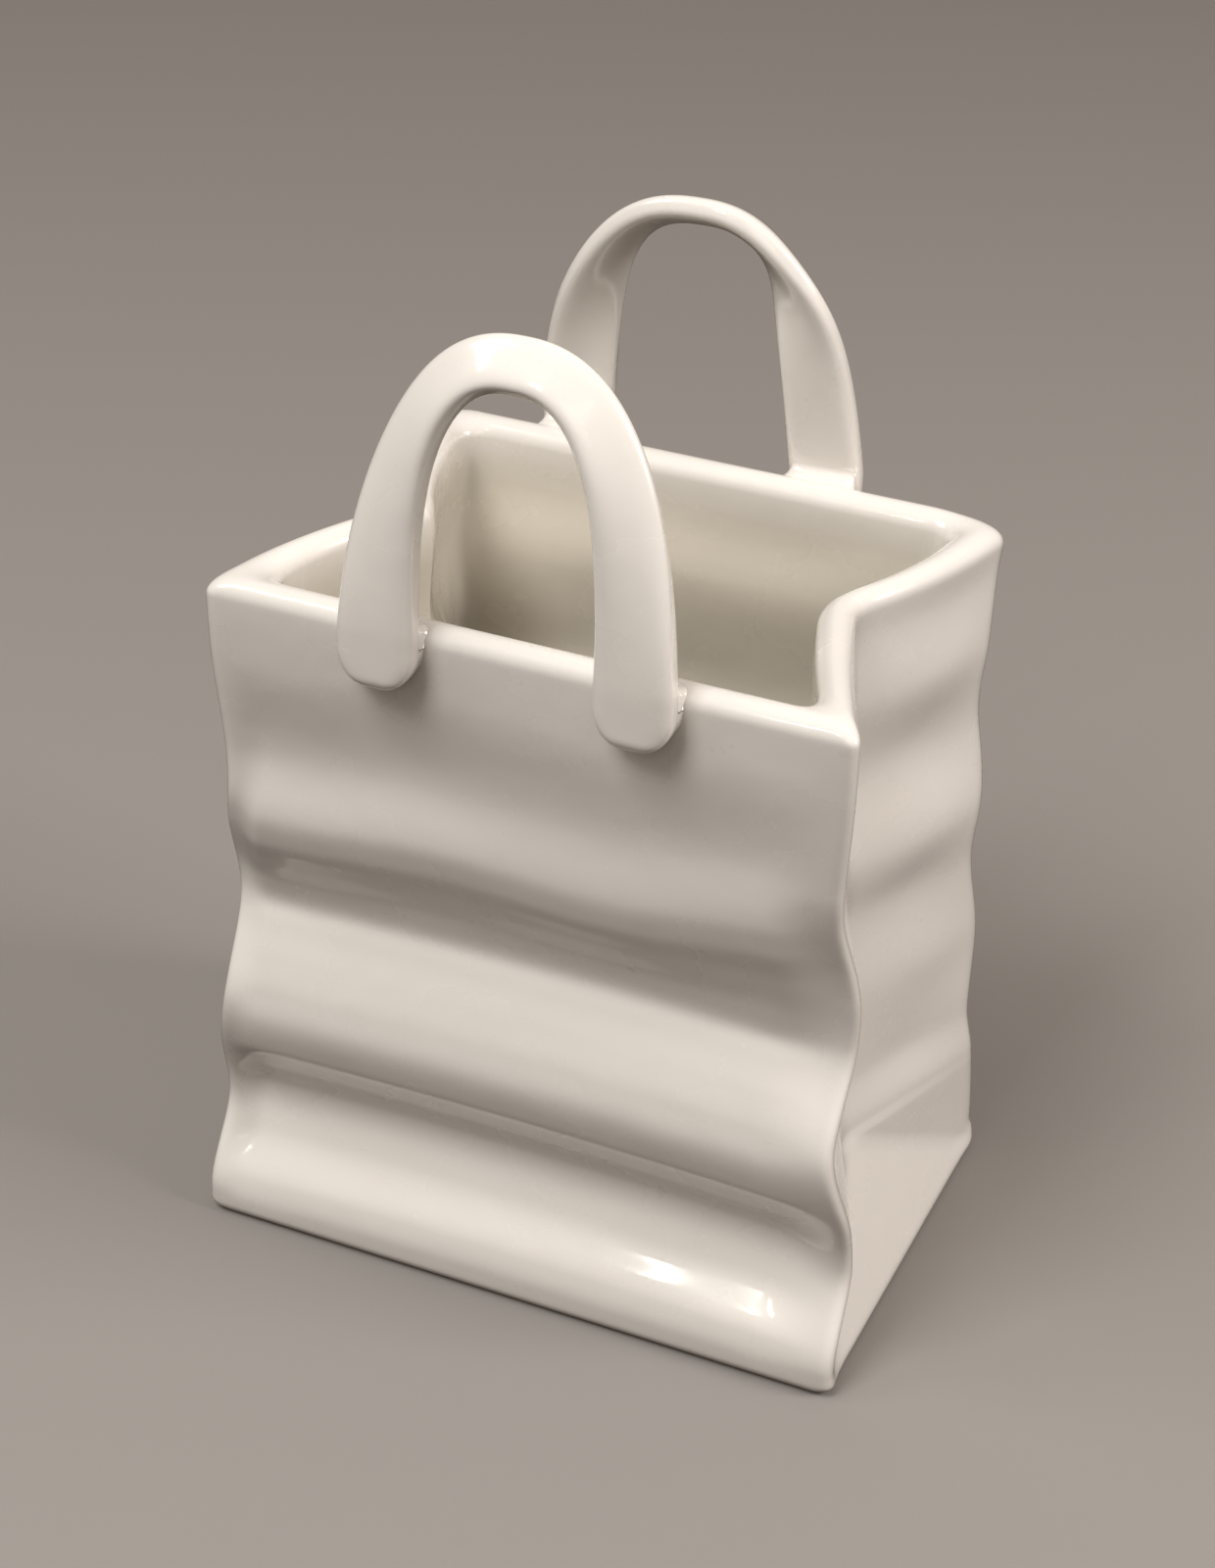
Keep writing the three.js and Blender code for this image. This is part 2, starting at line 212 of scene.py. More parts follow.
room_tree = room.node_tree
room_way = wire(room_tree, "ShaderNodeTexCoord").outputs["Generated"]
room_height = wire(room_tree, "ShaderNodeSeparateXYZ", Vector=room_way).outputs["Z"]
room_rise = wire(
    room_tree, "ShaderNodeMapRange", Value=room_height, From_Min=-ROOM_HORIZON, From_Max=ROOM_HORIZON,
).outputs["Result"]
room_light = wire(
    room_tree, "ShaderNodeMix", {"data_type": "RGBA"}, i0=room_rise, i6=ROOM_BELOW, i7=ROOM_ABOVE,
).outputs[2]
room_tree.links.new(room_light, room_tree.nodes["Background"].inputs["Color"])
bpy.context.scene.world = room
bpy.context.scene.view_settings.view_transform = "Standard"
bpy.context.scene.view_settings.exposure = EXPOSURE
bpy.context.scene.view_settings.gamma = GAMMA

# Bag body. One hollow slip casting in white clay: waved front and back panels, side gussets folded inwards,
# a block bottom and a rounded rim, dipped in a glossy warm white glaze. The foot band is wiped bare, and
# shade is painted on the inner face and floor.
MILLIMETRE = 0.001
BASE_WIDTH = 122.0
BASE_DEPTH = 81.8
RIM_HEIGHT = 130.0
WALL = 6.2
FLOOR = 6.5
FLOOR_FILLET = 6.0
EDGE_ROUND = 2.6
FOOT_BAND = 5.5
FOOT_HOLLOW = 1.4
FOOT_SLOPE = 2.1
FRONT_EDGE = [(5, 0), (22.5, 7), (46, 1.1), (66.5, 8.9), (95, 1.5), (130, -0.8)]
FRONT_MIDDLE = [
    (5, 0), (10, 1.2), (17.5, 6.9), (26.5, 9.6), (33, 5.7), (39, 2.1), (45.5, 0.9), (51, 1.9), (57, 4),
    (63, 6.6), (66.5, 7.9), (71, 7), (77, 4.6), (83, 2.1), (88.5, 1.1), (99, 2), (118, -0.5), (130, -0.8),
]
FRONT_CORNER = [(5, 0), (30, 0.5), (51, 3.6), (73, 2.8), (94, 5.3), (118, 4.1), (130, 4)]
FRONT_CLIMB = 3.5
BACK_EDGE = [(5, 0), (36, 3.5), (48, 2.5), (73, 6), (88, 4.9), (104, 6), (130, 1)]
BACK_MIDDLE = [(5, 0), (34, 8), (48, 1.6), (71, 9), (92, 2.2), (108, 2.8), (121, -0.4), (130, -0.8)]
BACK_CORNER = [(5, 0.6), (36, 1.6), (48, 2.6), (73, 3.4), (88, 3.9), (104, 5.2), (130, 5.9)]
BACK_CLIMB = 0.0
FOLD_SAG = 1.5
WAVE_TILT = 1.6
WAVE_SWAY = 0.9
WAVE_CHANGE = (66.0, 84.0)
DENT_DEPTH = 1.2
DENT_HEIGHT = 99.0
DENT_REACH = (13.0, 28.0)
EDGE_DENT = 0.75
EDGE_STRIP = 2.0
LEFT_BLEND = 6.5
RIGHT_BLEND = 13.0
FRONT_CORNER_REACH = 3.2
FRONT_CORNER_GROWTH = 0.8
BACK_CORNER_REACH = 5.5
ROUNDING_LIMIT = 0.45
FOLD_INSET = 13.8
FOLD_FLAT = 2.2
FOLD_CLEARANCE = 8.0
FOLD_CLEARANCE_GROWTH = 1.2
APEX_HEIGHT = 23.5
CREASE_REACH = 4.0
RIM_CREASE_REACH = 9.0
CREASE_CHANGE = RIM_HEIGHT / 3
GUSSET_WAVE = [
    (24, 0), (33, 2.3), (50, 0), (66.5, 2.7), (79, 0.1), (95, 3.4), (110.5, 0), (122, 0.9), (130, 0),
]
GUSSET_WAVE_SHARE = (-0.8, 0.6)
GUSSET_WAVE_EASE = 0.65
GUSSET_START = BASE_WIDTH / 6
GUSSET_BLEND = 8.0
PANEL_SHARE = (0.6, 0.95)
BACK_BOW = 2.4
LEFT_FRONT_BOW = 2.7
RIGHT_FRONT_BOW = -1.1
BOW_FADE = 120.0
PANEL_STEPS = 90
SLOPE_STEPS = 28
FOLD_STEPS = 8
CORNER_STEPS = 8
STEP_GATHER = 1 / 12
FOOT_ROWS = 7
BAND_ROWS = 3
WIPED_ROWS = 3
ROUND_ROWS = 10
OUTER_ROWS = 145
RIM_ROWS = 23
INNER_ROWS = 46
WIPE_FADE = (-0.2, 1.6)
# Painted shade on the inner face: where it starts across the rim, as a share of the wall, and how far below
# the rim it fades in, in mm.
INSIDE_SHADE_START = 0.7
INSIDE_SHADE_FADE = 12.0


def smooth(t):
    """Smooth step: 0 below 0, 1 above 1, 3 t squared minus 2 t cubed between."""
    t = np.clip(t, 0, 1)
    return t * t * (3 - 2 * t)


def between(bounds, value):
    """Smooth step of a value from 0 at the first bound to 1 at the second."""
    low, high = bounds
    return smooth((value - low) / (high - low))


def mix(a, b, t):
    """Straight passage from a to b as t goes from 0 to 1."""
    return a + (b - a) * t


def hump(t):
    """Parabola of t: 0 at 0 and at 1, 1 halfway."""
    return 4 * t * (1 - t)


def through(stations, z):
    """A cubic through stations of height and value that never overshoots: level at crests, valleys and ends,
    elsewhere as steep as the harmonic mean of the lines on both sides."""
    height, value = np.array(stations, float).T
    line = np.diff(value) / np.diff(height)
    below, above = line[:-1], line[1:]
    same_way = below * above > 0
    steep = np.zeros(len(height))
    steep[1:-1] = np.where(same_way, 2 * below * above / np.where(same_way, below + above, 1), 0)
    z = np.clip(z, height[0], height[-1])
    i = np.clip(np.searchsorted(height, z), 1, len(height) - 1)
    span = height[i] - height[i - 1]
    t = (z - height[i - 1]) / span
    lean = steep[i - 1] * (1 - t) - steep[i] * t
    return mix(value[i - 1], value[i], smooth(t)) + span * t * (1 - t) * lean


def dent(part, z):
    """A broad shallow dent above the upper fold, deepest at the left, that passes evenly into a swelling at
    the right and fades both ways in height as a smooth step."""
    fade = np.where(z < DENT_HEIGHT, *DENT_REACH)
    return -DENT_DEPTH * part * smooth(1 - np.abs(z - DENT_HEIGHT) / fade)


def edge_lines(edge, climb, z):
    """How far in the left and the right vertical edge of a panel lie: one wave of the height, its upper part
    moved down on the left and up on the right by the climb; the left one has its share of the dent."""
    lift = climb * between(WAVE_CHANGE, z)
    return through(edge, z + lift) + EDGE_DENT * dent(-1, z), through(edge, z - lift)


def hollow(edge, climb, middle, corner, x, z):
    """How much further in than the straight line between its edges a panel lies: the middle's wave and the
    dent less that line, blended in beside the edges by a smooth step of the distance from them. The wave
    isn't level: the low fold sags towards both edges as a parabola, the upper one climbs to the right and
    sways once as a sine."""
    reach = BASE_WIDTH / 2 - through(corner, z)
    left, right = edge_lines(edge, climb, z)
    straight = mix(left, right, np.clip(0.5 + x / reach / 2, 0, 1))
    part = 2 * x / BASE_WIDTH
    tilt = WAVE_TILT * part - WAVE_SWAY * np.sin(2 * np.pi * part)
    level = z - mix(-FOLD_SAG * part ** 2, tilt, between(WAVE_CHANGE, z))
    beside = smooth((reach - np.abs(x) - EDGE_STRIP) / np.where(x < 0, LEFT_BLEND, RIGHT_BLEND))
    return (through(middle, level) + dent(part, z) - straight) * beside


def ripple(x, share, z):
    """How far a gusset lies inside its straight fold: waves of the height that grow from the front to the
    back half and ease off beside the back edge, less a bow between fold and edge, a parabola that is full at
    the rim and fades out below it."""
    across = between(GUSSET_WAVE_SHARE, share) * (1 - GUSSET_WAVE_EASE * smooth(2 * share - 1))
    bow = np.where(share > 0, BACK_BOW, np.where(x < 0, LEFT_FRONT_BOW, RIGHT_FRONT_BOW))
    fade = smooth(1 - (RIM_HEIGHT - z) / BOW_FADE)
    return through(GUSSET_WAVE, z) * across - bow * hump(np.clip(np.abs(share), 0, 1)) * fade


def bag_plan(z, inset):
    """The eight corners of the plan for each height, anticlockwise from the front left, and the reach of
    their roundings. Below the apex the gusset's fold opens out into the triangle of the block bottom, but
    stays clear of the vertical edges, also once the plan is moved in."""
    half = BASE_DEPTH / 2
    front = BASE_WIDTH / 2 - through(FRONT_CORNER, z)
    rear = BASE_WIDTH / 2 - through(BACK_CORNER, z)
    folded = np.clip(z / APEX_HEIGHT, 0, 1)
    fold_x = (front + rear) / 2 - FOLD_INSET * folded
    left_y, right_y = np.array(edge_lines(FRONT_EDGE, FRONT_CLIMB, z)) - half
    left_rear_y, right_rear_y = half - np.array(edge_lines(BACK_EDGE, BACK_CLIMB, z))
    nearest = np.min([-left_y, -right_y, left_rear_y, right_rear_y], axis=0)
    widest = nearest - FOLD_CLEARANCE_GROWTH * inset - FOLD_CLEARANCE
    fold_y = np.minimum(widest, np.maximum(half * (1 - folded), FOLD_FLAT))
    x = np.stack([-front, front, fold_x, fold_x, rear, -rear, -fold_x, -fold_x], axis=1)
    y = np.stack([left_y, right_y, -fold_y, fold_y, right_rear_y, left_rear_y, fold_y, -fold_y], axis=1)
    crease = mix(CREASE_REACH, RIM_CREASE_REACH, smooth(1 - (RIM_HEIGHT - z) / CREASE_CHANGE))
    front_corner = FRONT_CORNER_REACH + FRONT_CORNER_GROWTH * inset
    back_corner = np.full(len(z), BACK_CORNER_REACH)
    reach = [front_corner] * 2 + [crease] * 2 + [back_corner] * 2 + [crease] * 2
    return np.stack([x, y], axis=-1), np.stack(reach, axis=1)


def bag_surface(z, inset):
    """Rings of the bag in millimetres for arrays of heights and insets from the outer face: the plan's sides
    moved in by the inset, corners rounded as parabolas, points gathered towards the corners by a sine, then
    the panels' waves and the gussets' ripples added."""
    corners, reach = bag_plan(z, inset)
    side = np.roll(corners, -1, axis=1) - corners
    inward = np.stack([-side[..., 1], side[..., 0]], axis=-1) / np.linalg.norm(side, axis=-1)[..., None]
    other = np.roll(inward, 1, axis=1)
    corners = corners + (inward + other) * (inset[:, None] / (1 + (inward * other).sum(-1)))[..., None]
    before = np.roll(corners, 1, axis=1) - corners
    after = np.roll(corners, -1, axis=1) - corners
    before_length = np.linalg.norm(before, axis=-1)
    after_length = np.linalg.norm(after, axis=-1)
    span = np.minimum(reach, ROUNDING_LIMIT * np.minimum(before_length, after_length))
    start = corners + before * (span / before_length)[..., None]
    end = corners + after * (span / after_length)[..., None]
    bend = np.linspace(0, 1, CORNER_STEPS + 1)[:, None]
    parts = []
    for i, count in enumerate([PANEL_STEPS, SLOPE_STEPS, FOLD_STEPS, SLOPE_STEPS] * 2):
        first, peak, last = start[:, i, None], corners[:, i, None], end[:, i, None]
        parts.append((1 - bend) ** 2 * first + 2 * bend * (1 - bend) * peak + bend ** 2 * last)
        t = np.linspace(0, 1, count + 1)[1:-1]
        t = (t - np.sin(2 * np.pi * t) * STEP_GATHER)[:, None]
        parts.append(mix(last, start[:, (i + 1) % 8, None], t))
    x, y = np.moveaxis(np.concatenate(parts, axis=1), -1, 0)
    z = np.broadcast_to(z[:, None], x.shape)
    line = BASE_DEPTH / 2 - np.where(y < 0, through(FRONT_EDGE, z), through(BACK_EDGE, z)) - inset[:, None]
    share = y / line
    wave = np.where(
        y < 0,
        hollow(FRONT_EDGE, FRONT_CLIMB, FRONT_MIDDLE, FRONT_CORNER, x, z),
        hollow(BACK_EDGE, BACK_CLIMB, BACK_MIDDLE, BACK_CORNER, x, z),
    )
    on_gusset = smooth((np.abs(x) - GUSSET_START) / GUSSET_BLEND)
    x = x - np.sign(x) * ripple(x, share, z) * on_gusset
    y = y - np.sign(y) * wave * between(PANEL_SHARE, np.abs(share))
    return np.stack([x, y, z], axis=-1)


def bag_rows():
    """Heights and insets of the rings, from the hollow underside out over the foot band, up the outer face,
    over the rim as a half circle, down the inner face and over a quarter circle to the floor; with the
    share of bare clay on each, and the share of painted shade that darkens the inner face and floor."""
    band_inner = EDGE_ROUND + FOOT_BAND
    shoulder = RIM_HEIGHT - WALL / 2
    slope = np.linspace(0, 1, FOOT_ROWS)
    band = np.linspace(0, 1, BAND_ROWS + 2)[1:-1]
    quarter = np.linspace(0, np.pi / 2, ROUND_ROWS)
    outer = np.linspace(EDGE_ROUND, shoulder, OUTER_ROWS)[1:]
    over = np.linspace(0, np.pi, RIM_ROWS)[1:]
    inner = np.linspace(shoulder, FLOOR + FLOOR_FILLET, INNER_ROWS)[1:]
    fillet = quarter[1:]
    stretches = [
        (FOOT_HOLLOW * (1 - smooth(slope)), band_inner + FOOT_SLOPE * (1 - slope)),
        (np.zeros(BAND_ROWS), mix(band_inner, EDGE_ROUND, band)),
        (EDGE_ROUND * (1 - np.cos(quarter)), EDGE_ROUND * (1 - np.sin(quarter))),
        (outer, np.zeros(len(outer))),
        (shoulder + WALL / 2 * np.sin(over), WALL / 2 * (1 - np.cos(over))),
        (inner, np.full(len(inner), WALL)),
        (FLOOR + FLOOR_FILLET * (1 - np.sin(fillet)), WALL + FLOOR_FILLET * (1 - np.cos(fillet))),
    ]
    z, inset = (np.concatenate(column) for column in zip(*stretches))
    round_start = FOOT_ROWS + BAND_ROWS
    round_end = round_start + ROUND_ROWS
    bare = np.zeros(len(z))
    bare[FOOT_ROWS - WIPED_ROWS:round_start] = 1
    bare[round_start:round_end] = 1 - smooth(np.linspace(*WIPE_FADE, ROUND_ROWS))
    # Painted shade: the inner face and floor take the darker shade colour, fading in over the rim's inner
    # side and below the rim.
    inside = smooth((inset / WALL - INSIDE_SHADE_START) / (1 - INSIDE_SHADE_START)) * smooth((RIM_HEIGHT - z) / INSIDE_SHADE_FADE)
    inside[:round_end + 1] = 0
    return z, inset, bare, inside


def store(piece, name, values):
    """Keeps one number per vertex on a piece's mesh for its material."""
    layer = piece.data.attributes.new(name, "FLOAT", "POINT")
    layer.data.foreach_set("value", np.asarray(values, np.float32).ravel())


bag_z, bag_inset, bag_bare, bag_inside_shade = bag_rows()
bag_points = bag_surface(bag_z, bag_inset)
bag = mesh_from_grid(
    "bag", bag_points * MILLIMETRE, closed=True,
    first=(0, 0, FOOT_HOLLOW * MILLIMETRE), last=(0, 0, FLOOR * MILLIMETRE),
)
bag_columns = bag_points.shape[1]
# Per vertex: the share of bare clay, and the share of painted shade on the inner face and floor.
store(bag, "bare", np.concatenate([np.repeat(bag_bare, bag_columns), [0, 0]]))
store(bag, "inside", np.concatenate([np.repeat(bag_inside_shade, bag_columns), [0, 1]]))

CLOUD_SCALE = 26.0
CLOUD_RANGE = (0.35, 0.7)
SPECK_SCALE = 75.0
SPECK_RADIUS = (0.016, 0.03)
SPECK_RARITY = 0.86
SPECK_COLOUR = (0.16, 0.12, 0.08, 1)
SHEEN_SCALE = 60.0
SHEEN_RANGE = (0.2, 0.34)
SWELL_SCALE = 110.0
GRAIN_SCALE = 700.0
GRAIN_SHARE = 0.06
SKIN_STRENGTH = 0.25
SKIN_DEPTH = 0.0006
GLAZE_IOR = 1.5
GLAZE_ROUGHNESS = 0.07
BARE_ROUGHNESS = 0.85


def glaze_film():
    """Shared look of the fired glaze: faint cloudy tint, tiny dark pinholes, a lightly rippled skin."""
    group = bpy.data.node_groups.new("glaze_film", "ShaderNodeTree")
    for name, way, kind in (
        ("Glaze Colour", "INPUT", "NodeSocketColor"),
        ("Cloud Colour", "INPUT", "NodeSocketColor"),
        ("Speck Amount", "INPUT", "NodeSocketFloat"),
        ("Colour", "OUTPUT", "NodeSocketColor"),
        ("Roughness", "OUTPUT", "NodeSocketFloat"),
        ("Height", "OUTPUT", "NodeSocketFloat"),
    ):
        group.interface.new_socket(name, in_out=way, socket_type=kind)
    given = group.nodes.new("NodeGroupInput").outputs
    result = group.nodes.new("NodeGroupOutput").inputs
    place = group.nodes.new("ShaderNodeTexCoord").outputs["Object"]

    def noise(scale, **more):
        """Cloudy noise of a scale on the piece."""
        return wire(group, "ShaderNodeTexNoise", Vector=place, Scale=scale, **more).outputs["Fac"]

    def ranged(value, **bounds):
        """A value carried from one range to another, straight and held at the ends."""
        return wire(group, "ShaderNodeMapRange", Value=value, **bounds).outputs["Result"]

    def blend(share, a, b):
        """Colour a, passing to colour b as the share goes from 0 to 1."""
        return wire(group, "ShaderNodeMix", {"data_type": "RGBA"}, i0=share, i6=a, i7=b).outputs[2]

    def reckon(operation, a, b):
        """One sum of two values."""
        return wire(group, "ShaderNodeMath", {"operation": operation}, i0=a, i1=b).outputs["Value"]

    cloud = noise(CLOUD_SCALE, Detail=3.0, Roughness=0.55)
    cloudy = ranged(cloud, From_Min=CLOUD_RANGE[0], From_Max=CLOUD_RANGE[1])
    tint = blend(cloudy, given["Glaze Colour"], given["Cloud Colour"])
    cell = wire(group, "ShaderNodeTexVoronoi", Vector=place, Scale=SPECK_SCALE)
    dot = ranged(
        cell.outputs["Distance"], From_Min=SPECK_RADIUS[0], From_Max=SPECK_RADIUS[1], To_Min=1.0, To_Max=0.0,
    )
    pick = wire(group, "ShaderNodeSeparateColor", Color=cell.outputs["Color"]).outputs["Red"]
    spot = reckon("MULTIPLY", dot, reckon("GREATER_THAN", pick, SPECK_RARITY))
    speck = reckon("MULTIPLY", spot, given["Speck Amount"])
    sheen = ranged(noise(SHEEN_SCALE, Detail=4.0), To_Min=SHEEN_RANGE[0], To_Max=SHEEN_RANGE[1])
    grain = reckon("MULTIPLY", noise(GRAIN_SCALE, Detail=2.0), GRAIN_SHARE)
    skin = reckon("ADD", noise(SWELL_SCALE, Detail=1.5), grain)
    group.links.new(blend(speck, tint, SPECK_COLOUR), result["Colour"])
    group.links.new(sheen, result["Roughness"])
    group.links.new(reckon("SUBTRACT", skin, speck), result["Height"])
    return group


film = glaze_film()


def glazed_clay(name, glaze, cloud, specks, bare_clay=None, inside_shade=None):
    """White clay under a clear glossy glaze. Where bare clay and an inside shade colour are given, the
    piece's bare mask takes the glaze off and its inside mask paints shade on the inner face in that darker
    colour."""
    material = bpy.data.materials.new(name)
    material.use_nodes = True
    tree = material.node_tree
    shader = tree.nodes["Principled BSDF"].inputs
    shader["IOR"].default_value = GLAZE_IOR
    shader["Coat Roughness"].default_value = GLAZE_ROUGHNESS
    shader["Coat IOR"].default_value = GLAZE_IOR
    look = wire(
        tree, "ShaderNodeGroup", {"node_tree": film},
        Glaze_Colour=glaze, Cloud_Colour=cloud, Speck_Amount=specks,
    ).outputs
    colour, roughness = look["Colour"], look["Roughness"]
    if bare_clay:
        # Painted shade: the inside mask darkens the inner face and floor towards the shade colour.
        deep = wire(tree, "ShaderNodeAttribute", {"attribute_name": "inside"}).outputs["Fac"]
        bare = wire(tree, "ShaderNodeAttribute", {"attribute_name": "bare"}).outputs["Fac"]
        colour = wire(tree, "ShaderNodeMix", {"data_type": "RGBA"}, i0=deep, i6=colour, i7=inside_shade).outputs[2]
        colour = wire(
            tree, "ShaderNodeMix", {"data_type": "RGBA"}, i0=bare, i6=colour, i7=bare_clay,
        ).outputs[2]
        roughness = wire(tree, "ShaderNodeMix", i0=bare, i2=roughness, i3=BARE_ROUGHNESS).outputs[0]
        coat = wire(tree, "ShaderNodeMath", {"operation": "SUBTRACT"}, i0=1.0, i1=bare).outputs["Value"]
        tree.links.new(coat, shader["Coat Weight"])
    else:
        shader["Coat Weight"].default_value = 1.0
    bump = wire(tree, "ShaderNodeBump", Strength=SKIN_STRENGTH, Distance=SKIN_DEPTH, Height=look["Height"])
    tree.links.new(colour, shader["Base Color"])
    tree.links.new(roughness, shader["Roughness"])
    tree.links.new(bump.outputs["Normal"], shader["Normal"])
    return material


# The inner face and floor get painted shade: a darker, warmer colour than the glaze.
bag.data.materials.append(glazed_clay(
    "warm_white_glaze", glaze=(0.757, 0.73, 0.69, 1), cloud=(0.752, 0.723, 0.68, 1), specks=0.7,
    bare_clay=(0.62, 0.53, 0.42, 1), inside_shade=(0.6, 0.56, 0.485, 1),
))
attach(bag, "root")
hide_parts("bag_body")

# Strap handles. Flat straps of the same clay, bent to an arch and stuck on the outside of the panels. They
# narrow upwards, lean in over the mouth and turn their outer face up at the crown; glazed with the bag.
FRONT_HANDLE = dict(
    side=-1, half_span=22.1, spring=122.0, crown=176.8, squareness=2.45, shift=-1.1, sway=-0.6, tip=0.0,
    pinch=0.0, lean=4.8, lean_power=1.4, twist=41.0, late=1.0, taper=1.0, section=3.7, foot_y=44.35,
    foot_width=13.4, crown_width=9.0, foot_thickness=5.25, crown_thickness=4.2,
)
REAR_HANDLE = dict(
    side=1, half_span=23.7, spring=126.0, crown=174.5, squareness=2.5, shift=-4.5, sway=-1.0, tip=0.8,
    pinch=1.1, lean=3.5, lean_power=1.17, twist=66.0, late=3.2, taper=1.8, section=3.0, foot_y=44.3,
    foot_width=13.5, crown_width=9.1, foot_thickness=5.0, crown_thickness=4.5,
)
FOOT_TIP = 119.5
TONGUE = 6.4
END_ROUND = 2.6
LEG_STEPS = 40
ARCH_STEPS = 1201
TIP_STEPS = 14
TIP_START = 0.05
PATH_STEPS = 171
SECTION_POINTS = 72


def signed_power(t, power):
    """A power of t's size that keeps its sign."""
    return np.sign(t) * np.abs(t) ** power


def strap_path(strap):
    """Middle line of a handle, evenly spaced: straight legs, a superellipse arch, a lean inwards that grows
    with a power of the height above the rim, a tip of the crown to one side, a pinch of the right leg
    halfway up. Returns the points, the height share and the length from the nearer end."""
    angle = np.linspace(0, np.pi, ARCH_STEPS)
    power = 2 / strap["squareness"]
    x = -strap["half_span"] * signed_power(np.cos(angle), power)
    z = strap["spring"] + (strap["crown"] - strap["spring"]) * np.abs(np.sin(angle)) ** power
    leg = np.linspace(FOOT_TIP, strap["spring"], LEG_STEPS, endpoint=False)
    foot_x = np.full(LEG_STEPS, strap["half_span"])
    x = np.concatenate([-foot_x, x, foot_x])
    z = np.concatenate([leg, z, leg[::-1]])
    run = np.concatenate([[0], np.cumsum(np.hypot(np.diff(x), np.diff(z)))])
    tip = TONGUE * (1 - np.cos(np.linspace(TIP_START, np.pi / 2, TIP_STEPS)))
    at = np.concatenate([tip, np.linspace(TONGUE, run[-1] - TONGUE, PATH_STEPS)[1:-1], run[-1] - tip[::-1]])
    x, z = np.interp(at, run, x), np.interp(at, run, z)
    rise = np.clip((z - RIM_HEIGHT) / (strap["crown"] - RIM_HEIGHT), 0, 1)
    y = strap["side"] * (strap["foot_y"] - strap["lean"] * rise ** strap["lean_power"])
    z = z + strap["tip"] * rise * x / strap["half_span"]
    x = x - np.where(x > 0, strap["pinch"] * hump(rise), 0) + strap["shift"] + strap["sway"] * rise
    return np.stack([x, y, z], axis=-1), rise, np.minimum(at, run[-1] - at)


def strap_section(strap):
    """Points of a flat section with rounded edges, across and through the strap, each from minus one to one:
    a circle pulled out to a rounded square."""
    angle = np.linspace(0, 2 * np.pi, SECTION_POINTS, endpoint=False)
    power = 2 / strap["section"]
    return signed_power(np.cos(angle), power), signed_power(np.sin(angle), power)


def strap_surface(strap):
    """The section carried along the path. Its face turns from the panel's normal towards the arch's own by
    the twist, later on the right leg by a power, and it narrows with a power of the height; both ends round
    off like a tongue."""
    middle, rise, from_end = strap_path(strap)
    along = np.gradient(middle, axis=0)
    along /= np.linalg.norm(along, axis=1)[:, None]
    late = np.where(np.arange(len(rise)) > np.argmax(rise), strap["late"], 1)
    turn = np.radians(strap["twist"]) * smooth(rise) ** late
    sideways = np.sin(turn)
    face = np.stack([-along[:, 2] * sideways, strap["side"] * np.cos(turn), along[:, 0] * sideways], axis=-1)
    face -= along * (face * along).sum(1)[:, None]
    face /= np.linalg.norm(face, axis=1)[:, None]
    across = np.cross(face, along)
    tongue = np.sqrt(1 - (1 - np.clip(from_end / TONGUE, 0, 1)) ** 2)
    edge = np.sqrt(1 - (1 - np.clip(from_end / END_ROUND, 0, 1)) ** 2)
    width = mix(strap["foot_width"], strap["crown_width"], rise ** strap["taper"]) * tongue / 2
    thickness = mix(strap["foot_thickness"], strap["crown_thickness"], rise) * edge / 2
    wide, thick = strap_section(strap)
    return (
        middle[:, None]
        + across[:, None] * (width[:, None] * wide)[..., None]
        + face[:, None] * (thickness[:, None] * thick)[..., None]
    )


strap_glaze = glazed_clay(
    "strap_glaze", glaze=(0.765, 0.736, 0.693, 1), cloud=(0.76, 0.728, 0.683, 1), specks=0.5,
)
for name, node, strap in (
    ("front_strap", "front_handle", FRONT_HANDLE),
    ("rear_strap", "rear_handle", REAR_HANDLE),
):
    points = strap_surface(strap) * MILLIMETRE
    handle = mesh_from_grid(name, points, closed=True, first=points[0].mean(0), last=points[-1].mean(0))
    handle.data.materials.append(strap_glaze)
    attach(handle, "root")
    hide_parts(node)

# Slip joints. A dab of liquid clay under each foot of a handle, squeezed out to a low bead round the foot
# and drawn up to a hollow collar where the strap passes the rim; the glaze pools on it.
SLIP_TIP = 0.4
SLIP_LAP = 0.05
SLIP_FACE = -0.2
SLIP_REACH = 2.9
SLIP_GATHER = 5
SLIP_THIN = 0.3
SLIP_SPREAD = 7.0
SLIP_RISE = 2.2
SLIP_SINK = 0.1
SLIP_SEAT = 0.5
SLIP_TUCK = 0.2
SLIP_ENDS = ((0.1, 0.4), (1.5, 1.0))
SLIP_STEPS = 13


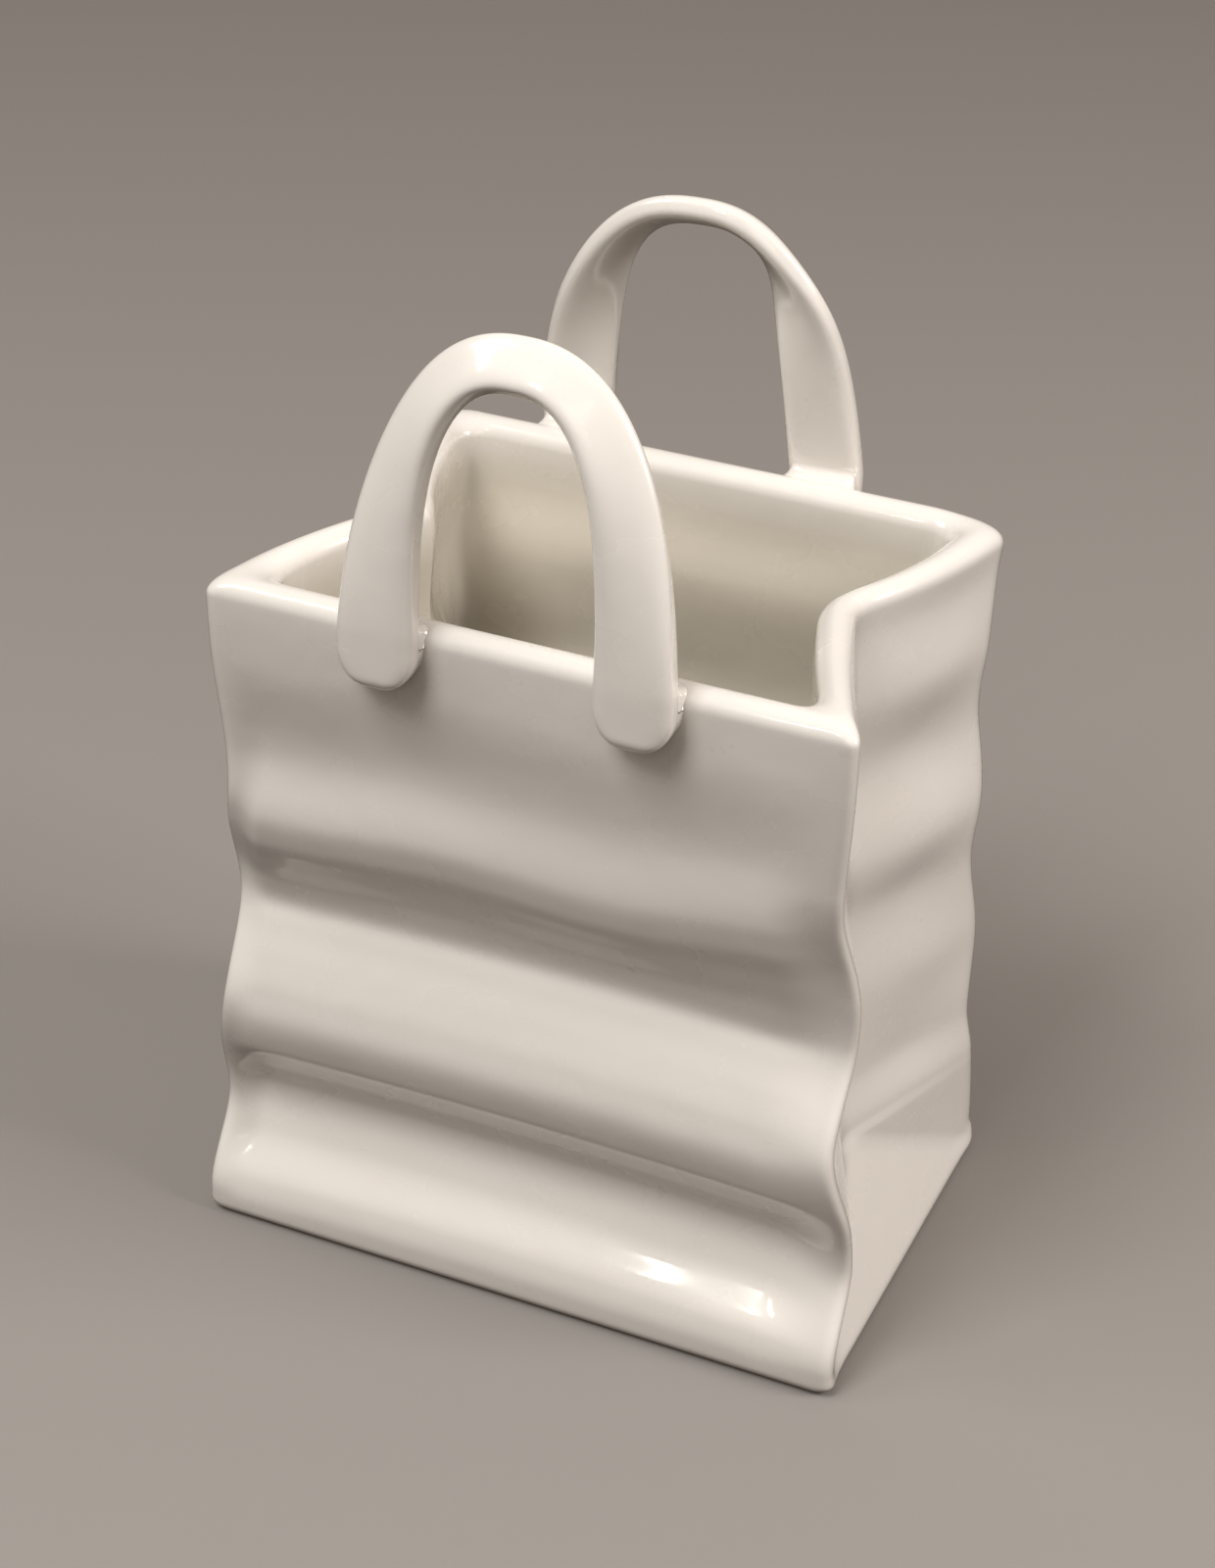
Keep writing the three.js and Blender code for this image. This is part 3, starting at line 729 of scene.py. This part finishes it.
def slip_collar(strap, foot_side, middle):
    """Rings round the strap's section, offset along its normals where they face the bag. They rise from the
    foot's tip behind the strap; at the rim they lie on its half circle, then draw in to the strap as a
    hollow quarter curve, and the last two tuck in under its skin."""
    wide, thick = strap_section(strap)
    half = strap["foot_width"] / 2 - SLIP_LAP
    deep = strap["foot_thickness"] / 2 + SLIP_LAP
    power = strap["section"] - 1
    normal = np.stack([signed_power(wide, power) / half, signed_power(thick, power) / deep])
    normal /= np.linalg.norm(normal, axis=0)
    offset = normal * mix(-SLIP_TUCK, SLIP_REACH, smooth(-normal[1]) ** SLIP_GATHER)
    section = np.stack([half * wide, strap["foot_y"] + deep * np.minimum(thick, SLIP_FACE)])
    turn = np.linspace(0, np.pi / 2, SLIP_STEPS)
    shoulder = RIM_HEIGHT - WALL / 2
    crest = BASE_DEPTH / 2 - through(middle, RIM_HEIGHT) - WALL / 2
    foot_rows = FOOT_TIP + SLIP_TIP + TONGUE * (1 - np.cos(turn[1:]))
    rings = []
    for z in np.append(foot_rows, [shoulder - SLIP_SEAT, shoulder]):
        tongue = math.sqrt(1 - (1 - min((z - FOOT_TIP) / TONGUE, 1)) ** 2)
        x, y = section + offset * mix(SLIP_THIN, 1, smooth((z - shoulder + SLIP_SPREAD) / SLIP_SPREAD))
        rings.append([x * tongue, y, np.full(len(x), z)])
    past_crest = np.clip((section + offset)[1] - crest, 0, WALL / 2)
    seat = shoulder + np.sqrt((WALL / 2) ** 2 - past_crest ** 2) - SLIP_SINK
    for angle in turn:
        x, y = section + offset * (1 - math.sin(angle))
        rings.append([x, y, seat + SLIP_RISE * (1 - math.cos(angle))])
    for tuck, rise in SLIP_ENDS:
        x, y = section - normal * SLIP_TUCK * tuck
        rings.append([x, y, seat + SLIP_RISE + rise])
    x, y, z = np.moveaxis(np.array(rings), 1, 0)
    points = np.stack([x + strap["shift"] + foot_side * strap["half_span"], strap["side"] * y, z], axis=-1)
    return points[:, ::-1] if strap["side"] < 0 else points


slip_glaze = glazed_clay(
    "pooled_glaze", glaze=(0.762, 0.732, 0.688, 1), cloud=(0.755, 0.722, 0.677, 1), specks=0.3,
)
for place, strap, middle in (("front", FRONT_HANDLE, FRONT_MIDDLE), ("rear", REAR_HANDLE, BACK_MIDDLE)):
    for foot, foot_side in (("left", -1), ("right", 1)):
        points = slip_collar(strap, foot_side, middle) * MILLIMETRE
        slip = mesh_from_grid(
            f"slip_{place}_{foot}", points, closed=True, first=points[0].mean(0), last=points[-1].mean(0),
        )
        slip.data.materials.append(slip_glaze)
        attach(slip, "root")
        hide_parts(f"slip_joint_{place}_{foot}")
